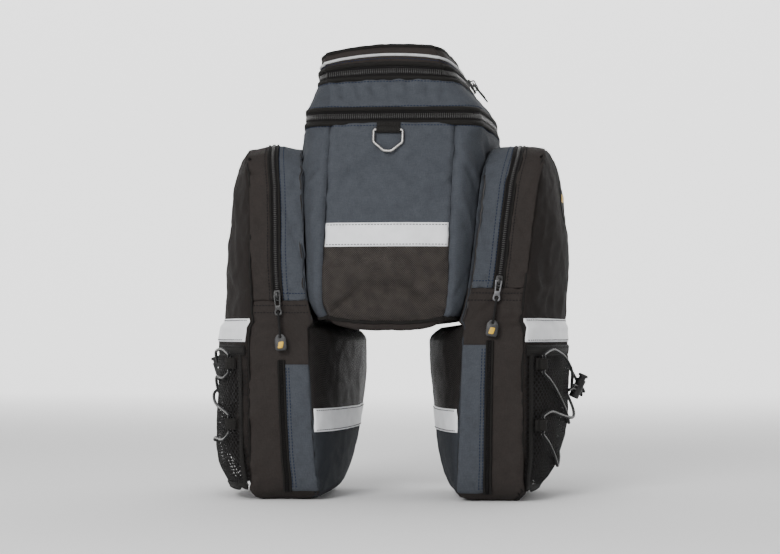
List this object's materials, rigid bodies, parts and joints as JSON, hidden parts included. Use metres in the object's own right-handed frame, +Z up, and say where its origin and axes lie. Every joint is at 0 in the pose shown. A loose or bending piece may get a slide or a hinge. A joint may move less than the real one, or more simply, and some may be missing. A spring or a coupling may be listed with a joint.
{
  "type": "bicycle trunk bag",
  "caption": "Soft bicycle rack bag: a tapered zip-top centre bag with a full-height side pannier hanging at each side, standing on its panniers.",
  "frame": {"origin": "on the ground under the middle of the bounding box", "axes": "+X across the bicycle, to the right seen from behind; +Y forward, away from the face with the ring; +Z up"},
  "size_m": [0.4362, 0.3574, 0.4911],
  "materials": {
    "black_cloth": "plain woven polyester, matt black",
    "cord": "black braid with white flecks",
    "net": "black knitted net",
    "plastic": "black, fine satin",
    "puller": "grey zinc casting, satin",
    "reflective": "silver-white reflective tape",
    "ripstop": "black ripstop with a fine diamond grid",
    "rubber": "dark grey soft moulding",
    "slate_cloth": "plain woven polyester, slate blue, slight sheen",
    "steel": "bent wire, satin nickel",
    "webbing": "black ribbed webbing",
    "zip_tape": "black zip tape with coil teeth"
  },
  "bodies": {
    "bag": {"front_tape": "reflective", "left_elastic": "cord", "left_front_loop_1": "webbing", "left_front_loop_2": "webbing", "left_inner_band": "slate_cloth", "left_inner_lower": "slate_cloth", "left_inner_tape": "reflective", "left_inner_upper": "ripstop", "left_lock": "plastic", "left_lower_gusset": "black_cloth", "left_net_pocket": "net", "left_outer_band": "black_cloth", "left_outer_panel": "black_cloth", "left_outer_tape": "reflective", "left_pull_slider": "plastic", "left_rear_loop_1": "webbing", "left_rear_loop_2": "webbing", "left_side_flap": "slate_cloth", "left_zip": "zip_tape", "lid": "black_cloth", "lid_piping": "reflective", "lid_pull_1_slider": "plastic", "lid_pull_2_slider": "plastic", "lid_zip": "zip_tape", "right_elastic": "cord", "right_front_loop_1": "webbing", "right_front_loop_2": "webbing", "right_inner_band": "slate_cloth", "right_inner_lower": "slate_cloth", "right_inner_tape": "reflective", "right_inner_upper": "ripstop", "right_lock": "plastic", "right_lower_gusset": "black_cloth", "right_net_pocket": "net", "right_outer_band": "black_cloth", "right_outer_panel": "black_cloth", "right_outer_tape": "reflective", "right_pull_slider": "puller", "right_rear_loop_1": "webbing", "right_rear_loop_2": "webbing", "right_side_flap": "slate_cloth", "right_zip": "zip_tape", "ring_tab": "webbing", "trunk_base": "black_cloth", "trunk_collar": "slate_cloth", "trunk_face_lower": "ripstop", "trunk_face_upper": "slate_cloth", "trunk_wrap": "slate_cloth", "trunk_zip": "zip_tape"},
    "ring": {"ring": "steel"},
    "left_zip_pull": {"left_pull_puller": "plastic", "left_pull_link": "cord", "left_pull_tab": "rubber"},
    "left_button": {"left_lock_button": "plastic"},
    "right_zip_pull": {"right_pull_puller": "puller", "right_pull_link": "cord", "right_pull_tab": "rubber"},
    "right_button": {"right_lock_button": "plastic"},
    "lid_pull_1": {"lid_pull_1_puller": "plastic"},
    "lid_pull_2": {"lid_pull_2_puller": "plastic"}
  },
  "joints": [
    {"name": "ring_swing", "type": "hinge", "parent": "bag", "child": "ring", "pos_m": [0.00872, -0.17456, 0.3909], "axis": [-0.9998, 0.0101, 0.0167], "range_deg": [0, 110]},
    {"name": "left_zip_pull_swing", "type": "hinge", "parent": "bag", "child": "left_zip_pull", "pos_m": [-0.11238, -0.15072, 0.21841], "axis": [-0.9957, -0.0082, -0.0918], "range_deg": [0, 95]},
    {"name": "left_button_press", "type": "slide", "parent": "bag", "child": "left_button", "axis": [0.3287, -0.0276, -0.944], "range_m": [0, 0.003]},
    {"name": "right_zip_pull_swing", "type": "hinge", "parent": "bag", "child": "right_zip_pull", "pos_m": [0.12335, -0.14965, 0.23327], "axis": [-0.9902, 0.008, 0.1393], "range_deg": [0, 95]},
    {"name": "right_button_press", "type": "slide", "parent": "bag", "child": "right_button", "axis": [-0.4173, 0.0197, -0.9086], "range_m": [0, 0.003]},
    {"name": "lid_pull_1_swing", "type": "hinge", "parent": "bag", "child": "lid_pull_1", "pos_m": [0.09205, -0.05205, 0.45378], "axis": [-0.1043, -0.9843, 0.1427], "range_deg": [0, 60]},
    {"name": "lid_pull_2_swing", "type": "hinge", "parent": "bag", "child": "lid_pull_2", "pos_m": [0.09299, -0.01736, 0.45379], "axis": [-0.0562, -0.9928, 0.1061], "range_deg": [0, 60]}
  ]
}
